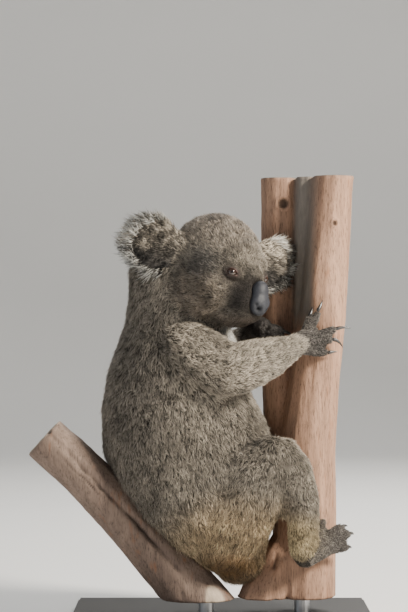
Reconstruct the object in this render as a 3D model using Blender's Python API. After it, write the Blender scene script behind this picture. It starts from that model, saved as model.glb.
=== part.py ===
"""A koala resting in the fork of a gum tree, life size, on a plain display stand.

The animal faces +X with its head turned towards its right side, which faces -Y.
Z is up and the underside of the stand's base lies at z = 0. Lengths in the tables
below are millimetres. Every solid gives the outline of the body out to the tips of
its coat. Each piece gives way to the pieces that were made before it, so that the
pieces meet with a small gap and never overlap.
"""

import math

import bmesh
import bpy
import numpy as np
from mathutils import Matrix, Vector
from mathutils.bvhtree import BVHTree

MM = 0.001
GAP = 0.3 * MM
CRUMB = 0.01 * MM
MOST_CORNER_MOVE = 4

# The stand: a flat base and two short rods that carry the cut wood.
BASE_SIZE = (420, 300, 14)
BASE_EDGE = 3
ROD_RADIUS = 11
PERCH_FOOT = 35
PERCH_TOP = 628
TRUNK_ROD = (112, 2)
BRANCH_ROD = (-22, -16)

# The fork: cut lengths of the trunk's two stems and of the branch beside them.
# Stations are (x, y, z, half thickness, half depth).
RIGHT_STEM = (
    (118, 14, 0, 42, 44),
    (117, 14, 90, 44, 46),
    (117, 14, 180, 44, 44),
    (123, 14, 280, 38, 40),
    (139, 16, 400, 34, 34),
    (150, 26, 520, 31, 32),
    (163, 34, 680, 28, 29),
)
LEFT_STEM = (
    (106, 22, 60, 30, 32),
    (94, 30, 190, 28, 28),
    (82, 42, 300, 25, 25),
    (80, 56, 410, 24, 24),
    (84, 78, 520, 27, 27),
    (86, 84, 680, 30, 29),
)
DEAD_WEDGE = (
    (106, 30, 390, 6, 10),
    (114, 44, 470, 12, 14),
    (120, 52, 560, 16, 16),
    (126, 56, 680, 19, 17),
)
COLLAR = (
    (98, 16, 110, 30, 34),
    (68, 6, 60, 34, 38),
    (46, 0, 0, 38, 42),
)
BRANCH = (
    (-268, -24, 279, 32, 33),
    (-170, -22, 190, 34, 35),
    (-100, -20, 110, 37, 38),
    (-30, -18, 32, 40, 41),
    (10, -16, -20, 42, 43),
)
BRANCH_END = (-247, -24, 262)
BRANCH_RUN = (0.73, 0, -0.68)

# The trunk of the body, from the nape to the rump, seen as a bent tube.
SPINE = (
    (-58, -18, 492, 74, 56),
    (-61, -8, 448, 72, 68),
    (-62, 0, 412, 78, 79),
    (-62, 0, 376, 91, 85),
    (-64, 0, 334, 103, 96),
    (-61, 0, 291, 112, 104),
    (-50, 0, 249, 119, 108),
    (-30, 0, 200, 114, 106),
    (-8, 0, 154, 93, 98),
    (14, 0, 114, 66, 82),
    (26, 0, 88, 42, 60),
)
SPINE_CUTS = (
    ("neck", (-62, 430), (0.0, -1.0)),
    ("chest", (-61, 326), (0.05, -1.0)),
    ("abdomen", (-28, 196), (0.42, -0.9)),
    ("rump", None, None),
)

# Limbs of the right side, which is the near one. Stations as above.
UPPER_ARM_RIGHT = (
    (-66, -58, 402, 30, 26),
    (-50, -70, 389, 40, 32),
    (-18, -84, 369, 42, 34),
    (12, -92, 355, 39, 34),
)
FOREARM_RIGHT = (
    (14, -92, 356, 37, 33),
    (42, -85, 366, 35, 32),
    (66, -73, 374, 30, 28),
    (88, -57, 383, 22, 22),
    (106, -44, 392, 17, 17),
)
THIGH_RIGHT = (
    (4, -52, 110, 42, 34),
    (16, -62, 146, 54, 42),
    (34, -70, 188, 55, 42),
    (54, -75, 226, 43, 36),
    (72, -77, 246, 28, 28),
)
SHANK_RIGHT = (
    (82, -76, 246, 23, 24),
    (99, -76, 224, 24, 25),
    (109, -74, 182, 25, 25),
    (111, -68, 140, 24, 23),
    (110, -62, 108, 21, 21),
)

# Limbs of the left side. The left hand reaches round the near face of the stem.
UPPER_ARM_LEFT = (
    (-66, 58, 402, 30, 26),
    (-50, 70, 388, 40, 32),
    (-20, 78, 376, 41, 34),
    (8, 77, 373, 37, 35),
)
FOREARM_LEFT = (
    (8, 79, 374, 34, 32),
    (26, 77, 385, 29, 29),
    (39, 72, 397, 24, 24),
    (50, 64, 408, 18, 18),
)
LEFT_LEG_BACK = -14
LEFT_KNEE_OUT = 12
LEFT_FOOT_OUT = 26

# Paws: palm or sole stations, then toes as runs of (x, y, z) with a radius.
HAND_RIGHT = {
    "palm": (
        (104, -40, 392, 16, 14),
        (116, -35, 393, 17, 12),
        (128, -31, 392, 14, 10),
    ),
    "toes": (
        ((110, -30, 396), (117, -25, 415), (121, -23, 427), 5.2),
        ((116, -32, 399), (127, -27, 421), (132, -25, 434), 5.2),
        ((124, -31, 397), (140, -29, 406), (155, -27, 411), 6.0),
        ((124, -31, 390), (138, -30, 396), (150, -28, 397), 6.2),
        ((118, -30, 382), (132, -30, 379), (144, -29, 379), 5.4),
    ),
    "claws": (
        ((122, -23, 430), (125, -22, 438), (126, -17, 443)),
        ((133, -25, 437), (138, -23, 446), (140, -19, 452)),
        ((158, -27, 412), (168, -25, 416), (179, -22, 413)),
        ((153, -28, 398), (164, -27, 396), (168, -23, 386)),
        ((147, -29, 379), (154, -28, 381), (160, -25, 380)),
    ),
}
HAND_LEFT = {
    "palm": (
        (49, 66, 408, 17, 16),
        (54, 50, 412, 17, 13),
        (61, 36, 412, 14, 11),
    ),
    "toes": (
        ((50, 62, 416), (50, 68, 428), (56, 76, 436), 5.2),
        ((46, 66, 408), (46, 74, 416), (51, 82, 422), 5.2),
        ((62, 34, 415), (72, 26, 413), (84, 23, 409), 5.6),
        ((62, 34, 408), (72, 26, 405), (84, 23, 401), 5.6),
        ((58, 38, 401), (68, 28, 396), (78, 24, 393), 5.2),
    ),
    "claws": (
        ((57, 78, 438), (60, 83, 441), (65, 86, 440)),
        ((53, 84, 424), (57, 89, 427), (63, 90, 426)),
        ((87, 22, 408), (94, 22, 407), (100, 28, 403)),
        ((87, 22, 400), (94, 22, 398), (100, 29, 394)),
        ((81, 23, 392), (88, 23, 390), (94, 28, 387)),
    ),
}
FOOT_RIGHT = {
    "palm": (
        (112, -56, 104, 20, 19),
        (126, -48, 108, 18, 15),
        (142, -42, 114, 16, 12),
    ),
    "toes": (
        ((128, -42, 120), (134, -39, 134), (138, -38, 146), 6.2),
        ((142, -41, 123), (154, -39, 132), (164, -36, 138), 6.0),
        ((146, -40, 115), (160, -38, 123), (174, -35, 128), 6.4),
        ((142, -40, 106), (158, -38, 108), (171, -35, 110), 6.4),
    ),
    "claws": (
        ((167, -35, 139), (172, -33, 141), (174, -28, 138)),
        ((177, -34, 129), (182, -30, 129), (183, -23, 126)),
        ((174, -34, 110), (179, -30, 110), (180, -23, 107)),
    ),
}
TOE_SPREAD = 1.12
CLAW_RADIUS_HAND = 3.4
CLAW_RADIUS_FOOT = 3.0

# The head in its own axes: x forward, y to its left, z up, from the skull's middle.
HEAD_PLACE = (-5, -34, 496)
HEAD_TURN = -43
HEAD_DROP = 6
HEAD_TILT = -7
SKULL = (
    ((-8, 0, 8), (68, 66, 69)),
    ((-36, 0, -20), (40, 48, 48)),
    ((46, 0, 22), (22, 26, 24)),
    ((58, 0, -41), (32, 31, 32)),
    ((60, 0, -10), (22, 19, 25)),
    ((40, 0, -60), (32, 27, 20)),
)
SKULL_SIDES = (
    ((8, 36, -28), (50, 36, 42)),
    ((42, 28, 14), (20, 18, 15)),
)
NOSE_PAD = (
    ((82, 0, -25), (12, 13, 16)),
    ((85, 0, -41), (12, 17, 17)),
)
EYE_PLACE = (54, 32, -5)
EYE_RADIUS = 7.6
EYE_OPENING = ((63, 38, -6), (9, 10, 8))

# Each ear is a thick dished disc: base, tip, half height, half thickness.
EARS = (
    ("ear_right", (-24, -56, 18), (-52, -142, 20), 42, 17, (-0.80, 0.55, 0.25)),
    ("ear_left", (-6, 54, 18), (16, 130, 16), 44, 17, (-0.96, 0.10, 0.25)),
)
EAR_DISH_DEPTH = 8

FUR_GREY = (0.17, 0.155, 0.14)
FUR_PALE = (0.45, 0.42, 0.36)
HORN_BLACK = (0.012, 0.011, 0.011)
NOSE_SLATE = (0.035, 0.037, 0.045)
EYE_BROWN = (0.02, 0.01, 0.006)
BARK_TAN = (0.36, 0.22, 0.15)
BRANCH_BROWN = (0.26, 0.17, 0.12)
STAND_BLACK = (0.02, 0.02, 0.02)
ROD_STEEL = (0.55, 0.55, 0.56)


def clear_scene():
    for old in list(bpy.data.objects):
        bpy.data.objects.remove(old, do_unlink=True)


def material(name, colour, roughness, metallic=0.0):
    found = bpy.data.materials.get(name)
    if found:
        return found
    made = bpy.data.materials.new(name)
    made.use_nodes = True
    shader = made.node_tree.nodes["Principled BSDF"]
    shader.inputs["Base Color"].default_value = (*colour, 1.0)
    shader.inputs["Roughness"].default_value = roughness
    shader.inputs["Metallic"].default_value = metallic
    return made


def coat():
    return material("coat", FUR_GREY, 0.9)


def horn():
    return material("horn", HORN_BLACK, 0.35)


def add_object(name, mesh, surface):
    made = bpy.data.objects.new(name, mesh)
    mesh.materials.clear()
    mesh.materials.append(surface)
    bpy.context.scene.collection.objects.link(made)
    return made


def evaluated_mesh(obj):
    bpy.context.view_layer.update()
    graph = bpy.context.evaluated_depsgraph_get()
    return bpy.data.meshes.new_from_object(obj.evaluated_get(graph))


def settle(obj):
    """Bakes an object's modifiers into its mesh."""
    mesh = evaluated_mesh(obj)
    old = obj.data
    obj.modifiers.clear()
    obj.data = mesh
    bpy.data.meshes.remove(old)


def between(rows, place):
    """A smooth value along rows of numbers, place running from 0 to len(rows) - 1."""
    last = len(rows) - 1
    low = min(int(place), last - 1)
    t = place - low
    rows_near = [rows[min(max(low + step, 0), last)] for step in (-1, 0, 1, 2)]
    found = []
    for a, b, c, d in zip(*rows_near):
        slope_in = (c - a) / 2
        slope_out = (d - b) / 2
        curve = (
            (2 * t**3 - 3 * t**2 + 1) * b
            + (t**3 - 2 * t**2 + t) * slope_in
            + (3 * t**2 - 2 * t**3) * c
            + (t**3 - t**2) * slope_out
        )
        found.append(curve)
    return found


def tube(stations, rings, sides, cap=0.8, cap_rings=2):
    """A closed tube with round ends through stations (x, y, z, thickness, depth)."""
    rows = []
    for index in range(rings):
        place = index * (len(stations) - 1) / (rings - 1)
        rows.append(between(stations, place))
    points = [Vector(row[:3]) for row in rows]
    frames = []
    for index in range(rings):
        ahead = points[min(index + 1, rings - 1)]
        behind = points[max(index - 1, 0)]
        along = (ahead - behind).normalized()
        deep = Vector((0, 1, 0)) - along * along.y
        if deep.length < 0.3:
            deep = Vector((1, 0, 0)) - along * along.x
        deep.normalize()
        frames.append((points[index], along, along.cross(deep), deep, *rows[index][3:]))

    def capped(frame, turn, way):
        centre, along, across, deep, thick, depth = frame
        reach = min(thick, depth) * cap * math.sin(turn) * way
        shrink = math.cos(turn)
        return (centre + along * reach, along, across, deep, thick * shrink, depth * shrink)

    turns = [math.pi / 2 * step / (cap_rings + 1) for step in range(1, cap_rings + 1)]
    head = [capped(frames[0], turn, -1) for turn in reversed(turns)]
    tail = [capped(frames[-1], turn, 1) for turn in turns]
    frames_all = head + frames + tail
    built = bmesh.new()
    loops = []
    for centre, along, across, deep, thick, depth in frames_all:
        loop = []
        for side in range(sides):
            angle = 2 * math.pi * side / sides
            offset = across * (thick * math.cos(angle)) + deep * (depth * math.sin(angle))
            loop.append(built.verts.new((centre + offset) * MM))
        loops.append(loop)
    for near, far in zip(loops, loops[1:]):
        for side in range(sides):
            after = (side + 1) % sides
            built.faces.new((near[side], near[after], far[after], far[side]))
    first = capped(frames[0], math.pi / 2, -1)[0]
    last = capped(frames[-1], math.pi / 2, 1)[0]
    for loop, end in ((loops[0], first), (loops[-1], last)):
        pole = built.verts.new(end * MM)
        for side in range(sides):
            built.faces.new((loop[side], loop[(side + 1) % sides], pole))
    bmesh.ops.recalc_face_normals(built, faces=built.faces)
    mesh = bpy.data.meshes.new("tube")
    built.to_mesh(mesh)
    built.free()
    return mesh


def ball(centre, radii, frame=None, detail=3):
    """An ellipsoid, in the axes of frame where one is given."""
    built = bmesh.new()
    scale = Matrix.Diagonal((*(radius * MM for radius in radii), 1))
    move = Matrix.Translation(Vector(centre) * MM)
    place = (frame or Matrix()) @ move @ scale
    bmesh.ops.create_icosphere(built, subdivisions=detail, radius=1, matrix=place)
    mesh = bpy.data.meshes.new("ball")
    built.to_mesh(mesh)
    built.free()
    return mesh


def gathered(meshes):
    """One mesh that holds all of these."""
    built = bmesh.new()
    for mesh in meshes:
        built.from_mesh(mesh)
        bpy.data.meshes.remove(mesh)
    whole = bpy.data.meshes.new("gathered")
    built.to_mesh(whole)
    built.free()
    return whole


def melded(name, meshes, surface, voxel, triangles, rounds=4):
    """Shapes run together into one smooth skin, thinned to a number of triangles."""
    made = add_object(name, gathered(meshes), surface)
    remesh = made.modifiers.new("meld", "REMESH")
    remesh.mode = "VOXEL"
    remesh.voxel_size = voxel * MM
    smooth = made.modifiers.new("smooth", "SMOOTH")
    smooth.factor = 0.5
    smooth.iterations = rounds
    settle(made)
    thin = made.modifiers.new("thin", "DECIMATE")
    thin.ratio = triangles / (2 * len(made.data.polygons))
    settle(made)
    return made


def corner_move(vert, by):
    """The move that carries every face round a corner outwards by one distance."""
    normals = np.array([face.normal for face in vert.link_faces])
    wanted = np.full(len(normals), by)
    move = Vector(np.linalg.lstsq(normals, wanted, rcond=0.1)[0])
    if move.length > MOST_CORNER_MOVE * by:
        move *= MOST_CORNER_MOVE * by / move.length
    return move


def grown(shape, by):
    """A helper object with a shape's mesh, its surface moved outwards."""
    built = bmesh.new()
    built.from_mesh(shape)
    built.normal_update()
    moves = [(vert, corner_move(vert, by)) for vert in built.verts]
    for vert, move in moves:
        vert.co += move
    mesh = bpy.data.meshes.new("cutter")
    built.to_mesh(mesh)
    built.free()
    copy = bpy.data.objects.new("cutter", mesh)
    copy.hide_render = True
    copy.display_type = "WIRE"
    bpy.context.scene.collection.objects.link(copy)
    return copy


def tree_of(mesh):
    built = bmesh.new()
    built.from_mesh(mesh)
    tree = BVHTree.FromBMesh(built)
    built.free()
    return tree


def cut(obj, cutter, operation="DIFFERENCE"):
    """Cuts an object by a helper, which is then removed."""
    boolean = obj.modifiers.new("cut", "BOOLEAN")
    boolean.operation = operation
    boolean.object = cutter
    trial = evaluated_mesh(obj)
    if not trial.polygons:
        boolean.solver = "MANIFOLD"
    bpy.data.meshes.remove(trial)
    settle(obj)
    old = cutter.data
    bpy.data.objects.remove(cutter, do_unlink=True)
    bpy.data.meshes.remove(old)


def facet(obj):
    """Splits an object's faces into triangles, so that its solid has flat faces only."""
    built = bmesh.new()
    built.from_mesh(obj.data)
    bmesh.ops.triangulate(built, faces=built.faces)
    built.to_mesh(obj.data)
    built.free()


def islands(built):
    left = set(built.verts)
    found = []
    while left:
        island = set()
        edge_of_search = [left.pop()]
        while edge_of_search:
            vert = edge_of_search.pop()
            island.add(vert)
            for edge in vert.link_edges:
                other = edge.other_vert(vert)
                if other in left:
                    left.discard(other)
                    edge_of_search.append(other)
        found.append(island)
    return found


def tidy(obj):
    """Keeps an object's one main body, with no loose crumbs or needle faces."""
    built = bmesh.new()
    built.from_mesh(obj.data)
    bmesh.ops.remove_doubles(built, verts=built.verts, dist=CRUMB)
    bmesh.ops.dissolve_degenerate(built, edges=built.edges, dist=CRUMB)
    pieces = sorted(islands(built), key=len)
    for crumb in pieces[:-1]:
        bmesh.ops.delete(built, geom=list(crumb), context="VERTS")
    bmesh.ops.triangulate(built, faces=built.faces)
    bmesh.ops.recalc_face_normals(built, faces=built.faces)
    built.to_mesh(obj.data)
    built.free()


def give_way(obj, shapes):
    """Trims an object round the whole shapes of the pieces made before it."""
    for shape in shapes:
        cutter = grown(shape, GAP)
        if tree_of(obj.data).overlap(tree_of(cutter.data)):
            cut(obj, cutter)
        else:
            old = cutter.data
            bpy.data.objects.remove(cutter, do_unlink=True)
            bpy.data.meshes.remove(old)
    tidy(obj)


def halved(obj, point, normal):
    """Keeps the part of an object behind a plane, the cut closed flat."""
    built = bmesh.new()
    built.from_mesh(obj.data)
    everything = built.verts[:] + built.edges[:] + built.faces[:]
    bmesh.ops.bisect_plane(
        built, geom=everything, plane_co=point, plane_no=normal, clear_outer=True
    )
    rim = [edge for edge in built.edges if edge.is_boundary]
    bmesh.ops.holes_fill(built, edges=rim, sides=0)
    bmesh.ops.recalc_face_normals(built, faces=built.faces)
    built.to_mesh(obj.data)
    built.free()


def slab(name, low, high, surface, edge=0):
    """A box between two corners, its edges rounded."""
    built = bmesh.new()
    size = [(b - a) * MM for a, b in zip(low, high)]
    middle = [(a + b) / 2 * MM for a, b in zip(low, high)]
    place = Matrix.Translation(middle) @ Matrix.Diagonal((*size, 1))
    bmesh.ops.create_cube(built, size=1, matrix=place)
    if edge:
        upright_and_top = [e for e in built.edges if max(v.co.z for v in e.verts) > 0]
        bmesh.ops.bevel(
            built, geom=upright_and_top, offset=edge * MM, segments=2, affect="EDGES"
        )
    mesh = bpy.data.meshes.new(name)
    built.to_mesh(mesh)
    built.free()
    return add_object(name, mesh, surface)


def rod(name, place, low, high, surface):
    built = bmesh.new()
    move = Matrix.Translation((place[0] * MM, place[1] * MM, (low + high) / 2 * MM))
    bmesh.ops.create_cone(
        built,
        cap_ends=True,
        segments=16,
        radius1=ROD_RADIUS * MM,
        radius2=ROD_RADIUS * MM,
        depth=(high - low) * MM,
        matrix=move,
    )
    mesh = bpy.data.meshes.new(name)
    built.to_mesh(mesh)
    built.free()
    made = add_object(name, mesh, surface)
    mesh.shade_smooth()
    mesh.set_sharp_from_angle(angle=math.radians(40))
    return made


def united(name, meshes, surface):
    """Overlapping shapes joined into one body with their edges kept."""
    made = add_object(name, meshes[0], surface)
    for mesh in meshes[1:]:
        helper = bpy.data.objects.new("helper", mesh)
        helper.hide_render = True
        bpy.context.scene.collection.objects.link(helper)
        cut(made, helper, "UNION")
    return made


def make_perch():
    """The two stems with the dead wedge between them, and the branch."""
    bark = material("gum_bark", BARK_TAN, 0.75)
    stems = united(
        "perch_trunk",
        [
            tube(RIGHT_STEM, 8, 12),
            tube(LEFT_STEM, 7, 10),
            tube(DEAD_WEDGE, 4, 8),
            tube(COLLAR, 3, 8),
        ],
        bark,
    )
    halved(stems, (0, 0, PERCH_TOP * MM), (0.0, 0.0, 1.0))
    halved(stems, (0, 0, PERCH_FOOT * MM), (0.0, 0.0, -1.0))
    tidy(stems)
    branch_bark = material("branch_bark", BRANCH_BROWN, 0.85)
    branch = add_object("perch_branch", tube(BRANCH, 6, 12), branch_bark)
    halved(branch, Vector(BRANCH_END) * MM, -Vector(BRANCH_RUN))
    halved(branch, (0, 0, PERCH_FOOT * MM), (0.0, 0.0, -1.0))
    give_way(branch, [stems.data])
    return [stems, branch]


def make_stand():
    black = material("stand_paint", STAND_BLACK, 0.5)
    steel = material("rod_steel", ROD_STEEL, 0.35, 1.0)
    wide, deep, thick = BASE_SIZE
    base = slab(
        "stand_base",
        (-wide / 2, -deep / 2, 0),
        (wide / 2, deep / 2, thick),
        black,
        BASE_EDGE,
    )
    clear = GAP / MM
    rods = []
    for name, place in (("stand_rod_1", TRUNK_ROD), ("stand_rod_2", BRANCH_ROD)):
        rods.append(rod(name, place, thick + clear, PERCH_FOOT - clear, steel))
    return [base, *rods]


def claw_mesh(run, radius):
    """A curved horn that narrows to a point along three places."""
    start, middle, tip = (Vector(place) for place in run)
    stations = []
    for step in range(5):
        t = step / 4
        place = start * (1 - t) ** 2 + middle * 2 * t * (1 - t) + tip * t * t
        size = radius * (1 - 0.85 * t)
        stations.append((*place, size * 1.15, size))
    return tube(stations, 4, 5, cap=0.6, cap_rings=0)


def toe_mesh(run):
    start, middle, tip, radius = run
    stations = (
        (*start, radius * TOE_SPREAD, radius),
        (*middle, radius, radius),
        (*tip, radius * 0.9, radius * 0.9),
    )
    return tube(stations, 5, 10)


def mirrored(paw, back, out):
    """The same paw on the left side of the animal, moved along x and outwards."""

    def other_side(place):
        if not isinstance(place, tuple):
            return place
        if isinstance(place[0], tuple):
            return tuple(other_side(part) for part in place)
        return (place[0] + back, out - place[1], *place[2:])

    return {key: tuple(other_side(run) for run in runs) for key, runs in paw.items()}


def make_paw(kind, side, paw, claw_radius, first_claw):
    """Claws that stand alone, and a palm melded with its toes."""
    made = []
    for index, run in enumerate(paw["claws"]):
        name = f"claw_{kind}_{side}_{index + first_claw}"
        made.append(add_object(name, claw_mesh(run, claw_radius), horn()))
    pieces = [tube(paw["palm"], 5, 12)] + [toe_mesh(run) for run in paw["toes"]]
    skin = material("paw", (0.05, 0.045, 0.045), 0.7)
    made.append(melded(f"{kind}_{side}", pieces, skin, 1.8, 250, rounds=3))
    return made


def head_frame():
    turn = Matrix.Rotation(math.radians(HEAD_TURN), 4, "Z")
    drop = Matrix.Rotation(math.radians(HEAD_DROP), 4, "Y")
    tilt = Matrix.Rotation(math.radians(HEAD_TILT), 4, "X")
    return Matrix.Translation(Vector(HEAD_PLACE) * MM) @ turn @ drop @ tilt


def other_hand(place, side):
    return (place[0], place[1] * side, place[2])


def make_face(frame):
    """The eyes and the nose pad, which stand alone in the head."""
    made = []
    eye = material("eye", EYE_BROWN, 0.05)
    for name, side in (("eye_right", -1), ("eye_left", 1)):
        size = (EYE_RADIUS,) * 3
        made.append(add_object(name, ball(other_hand(EYE_PLACE, side), size, frame, 2), eye))
    pad = material("nose", NOSE_SLATE, 0.45)
    meshes = [ball(centre, radii, frame) for centre, radii in NOSE_PAD]
    made.append(melded("nose", meshes, pad, 2.0, 150, rounds=2))
    return made


def make_head(frame):
    meshes = [ball(centre, radii, frame, 4) for centre, radii in SKULL]
    for centre, radii in SKULL_SIDES:
        for side in (-1, 1):
            meshes.append(ball(other_hand(centre, side), radii, frame, 4))
    head = melded("head", meshes, coat(), 4.0, 760, rounds=6)
    centre, radii = EYE_OPENING
    for side in (-1, 1):
        helper = bpy.data.objects.new("opening", ball(other_hand(centre, side), radii, frame, 2))
        helper.hide_render = True
        bpy.context.scene.collection.objects.link(helper)
        cut(head, helper)
    return head


def make_ear(name, base, tip, half_height, half_thick, facing, frame):
    """A dished disc from base to tip, its hollow side turned along facing."""
    base = Vector(base)
    tip = Vector(tip)
    out = (tip - base).normalized()
    back = Vector(facing)
    back = (back - out * back.dot(out)).normalized()
    up = out.cross(back)
    middle = (base + tip) / 2
    turn = Matrix((out, back, up)).transposed().to_4x4()
    axes = frame @ Matrix.Translation(middle * MM) @ turn
    half_length = (tip - base).length / 2
    disc = ball((0, 0, 0), (half_length, half_thick, half_height), axes)
    root = ball((-half_length * 0.8, 0, 0), (18, half_thick, half_height * 0.6), axes)
    ear = melded(name, [disc, root], coat(), 3.0, 170, rounds=3)
    place = (half_length * 0.1, -half_thick * 1.9, 0)
    size = (half_length * 0.62, half_thick + EAR_DISH_DEPTH, half_height * 0.6)
    helper = bpy.data.objects.new("dish", ball(place, size, axes, 2))
    helper.hide_render = True
    bpy.context.scene.collection.objects.link(helper)
    cut(ear, helper)
    return ear


def other_side(stations, back, out):
    return tuple((x + back, out - y, z, thick, deep) for x, y, z, thick, deep in stations)


def limb(name, stations, rings=5, sides=10):
    return add_object(name, tube(stations, rings, sides), coat())


def make_body():
    """The trunk of the body, parted by thin cuts into neck, chest, belly and rump."""
    made = []
    behind = None
    for name, place, way in SPINE_CUTS:
        piece = add_object(name, tube(SPINE, 12, 17), coat())
        if place:
            point = Vector((place[0], 0, place[1])) * MM
            normal = Vector((way[0], 0, way[1])).normalized()
            halved(piece, point - normal * GAP / 2, normal)
        if behind:
            halved(piece, behind[0] + behind[1] * GAP / 2, -behind[1])
        behind = (point, normal) if place else None
        made.append(piece)
    return made


def build():
    clear_scene()
    frame = head_frame()
    foot_left = mirrored(FOOT_RIGHT, LEFT_LEG_BACK, LEFT_FOOT_OUT)
    shank_left = other_side(SHANK_RIGHT, LEFT_LEG_BACK, LEFT_FOOT_OUT)
    thigh_left = other_side(THIGH_RIGHT, LEFT_LEG_BACK / 2, LEFT_KNEE_OUT)
    done = make_perch()
    shapes = [piece.data.copy() for piece in done]
    stand = make_stand()
    later = []
    later += make_paw("hand", "right", HAND_RIGHT, CLAW_RADIUS_HAND, 1)
    later += make_paw("hand", "left", HAND_LEFT, CLAW_RADIUS_HAND, 1)
    later += make_paw("foot", "right", FOOT_RIGHT, CLAW_RADIUS_FOOT, 2)
    later += make_paw("foot", "left", foot_left, CLAW_RADIUS_FOOT, 2)
    later += make_face(frame)
    later.append(make_head(frame))
    for name, base, tip, half_height, half_thick, facing in EARS:
        later.append(make_ear(name, base, tip, half_height, half_thick, facing, frame))
    later.append(limb("forearm_right", FOREARM_RIGHT))
    later.append(limb("forearm_left", FOREARM_LEFT))
    later.append(limb("upper_arm_right", UPPER_ARM_RIGHT))
    later.append(limb("upper_arm_left", UPPER_ARM_LEFT))
    later.append(limb("shank_right", SHANK_RIGHT))
    later.append(limb("shank_left", shank_left))
    later.append(limb("thigh_right", THIGH_RIGHT))
    later.append(limb("thigh_left", thigh_left))
    for piece in later:
        facet(piece)
        whole = piece.data.copy()
        give_way(piece, shapes)
        shapes.append(whole)
    body = make_body()
    for piece in body:
        give_way(piece, shapes)
    done += later + body
    for piece in done:
        piece.data.shade_smooth()
        piece.data.set_sharp_from_angle(angle=math.radians(50))
    return stand + done


build()
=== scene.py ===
"""A life-size still koala in a cut gum-tree fork on a display stand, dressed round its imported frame."""

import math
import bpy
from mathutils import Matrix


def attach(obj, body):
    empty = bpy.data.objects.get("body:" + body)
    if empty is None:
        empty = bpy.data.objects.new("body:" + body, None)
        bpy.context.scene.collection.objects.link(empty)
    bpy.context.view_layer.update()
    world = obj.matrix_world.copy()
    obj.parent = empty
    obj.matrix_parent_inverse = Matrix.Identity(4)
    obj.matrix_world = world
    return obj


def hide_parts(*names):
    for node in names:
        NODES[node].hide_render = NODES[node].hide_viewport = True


bl_info = {
    "name": "Koala Model",
    "version": (1, 0, 0),
    "blender": (4, 5, 0),
    "location": "View3D > Sidebar > Koala",
    "description": "Builds the skin, coat, eyes, nose, claws, bark and stand of a life-size koala",
    "category": "Object",
}

import bmesh
import bpy
import numpy as np
from mathutils import Matrix, Vector
from mathutils.bvhtree import BVHTree

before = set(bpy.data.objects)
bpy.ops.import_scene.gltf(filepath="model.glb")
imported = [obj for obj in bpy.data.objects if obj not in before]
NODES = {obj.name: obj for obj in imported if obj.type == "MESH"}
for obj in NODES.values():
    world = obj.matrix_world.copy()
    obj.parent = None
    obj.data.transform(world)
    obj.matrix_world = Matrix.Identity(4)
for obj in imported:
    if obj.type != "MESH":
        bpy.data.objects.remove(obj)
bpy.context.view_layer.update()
MM = 0.001
SEED = 41

# The head's own axes: x forward, y to its left, z up, from the middle of the skull.
HEAD_AXES = (
    Matrix.Translation(Vector((-5, -34, 496)) * MM)
    @ Matrix.Rotation(math.radians(-43), 4, "Z")
    @ Matrix.Rotation(math.radians(6), 4, "Y")
    @ Matrix.Rotation(math.radians(-7), 4, "X")
)
EYE_PLACE = (54, 32, -5)
EYE_RADIUS = 7.6
EYE_AXIS = (0.70, 0.70, 0.05)
NOSE_TIP = (95, 0, -38)
EARS = {
    "ear_right": ((-24, -56, 18), (-52, -142, 20)),
    "ear_left": ((-6, 54, 18), (16, 130, 16)),
}

# Millimetres: how far parts grow to meet before they become one skin, and how far the
# skin then sinks, as a least depth and a share of the tufts' length.
MEETING = 1.2
LEAST_SINK, SINK_SHARE, PAW_RISE = 0.45, 0.54, 1.1
SINK_STEPS = 4
# Tufts: depth of the root, share of the length below the middle ring, thickness over
# width, size of a clump, and the fringe of the ears.
ROOT_DEPTH = 0.9
LOWER_SHARE, THICKNESS = 0.42, 0.35
CLUMP_SIZE = 5.2
FRINGE_LENGTH, FRINGE_WIDTH, FRINGE_PALE = 21.0, 1.5, 0.62
DARK_SHARE, DARK_TONE = 0.15, 0.35
MOUTH_WIDE, MOUTH_DEEP = 2.0, 3.0
FOLD_WIDE, FOLD_DEEP = 3.6, 7
NOSE_VOXEL = 0.9
CORNEA_RISE = 0.06

# Each part of the body: tuft length, tuft width, tufts for each square centimetre,
# and the two points, from and to, that give the lie of its coat. All in millimetres.
FLESH = {
    "head": (8.5, 1.15, 105, None),
    "ear_right": (13, 1.3, 85, None),
    "ear_left": (13, 1.3, 85, None),
    "neck": (12.5, 1.3, 62, ((-40, 0, 470), (-70, 0, 400))),
    "chest": (13, 1.35, 54, ((-60, 0, 420), (-64, 0, 300))),
    "abdomen": (13, 1.35, 54, ((-62, 0, 330), (-40, 0, 200))),
    "rump": (12.5, 1.35, 54, ((-40, 0, 190), (10, 0, 80))),
    "upper_arm_right": (11, 1.25, 66, ((-66, -58, 402), (12, -92, 355))),
    "forearm_right": (9.5, 1.15, 80, ((14, -92, 356), (106, -44, 392))),
    "upper_arm_left": (11, 1.25, 66, ((-66, 58, 402), (8, 77, 373))),
    "forearm_left": (9.5, 1.15, 80, ((8, 79, 374), (50, 64, 408))),
    "hand_right": (4.2, 1.0, 115, ((104, -40, 392), (150, -28, 400))),
    "hand_left": (4.2, 1.0, 115, ((49, 66, 408), (80, 24, 405))),
    "thigh_right": (12, 1.3, 60, ((50, -70, 250), (20, -60, 110))),
    "thigh_left": (12, 1.3, 60, ((50, 70, 250), (20, 60, 110))),
    "shank_right": (8.5, 1.15, 80, ((82, -76, 246), (110, -64, 108))),
    "shank_left": (8.5, 1.15, 80, ((82, 80, 246), (96, 84, 108))),
    "foot_right": (4.2, 1.0, 115, ((112, -56, 104), (170, -36, 118))),
    "foot_left": (4.2, 1.0, 115, ((98, 82, 104), (156, 62, 118))),
}

PART_NAMES = list(FLESH)
PAWS = [name for name in FLESH if name.startswith(("hand", "foot"))]


def among(kinds, names):
    """Which of the points are on the parts of these names."""
    return np.isin(kinds, [PART_NAMES.index(name) for name in names])


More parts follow.
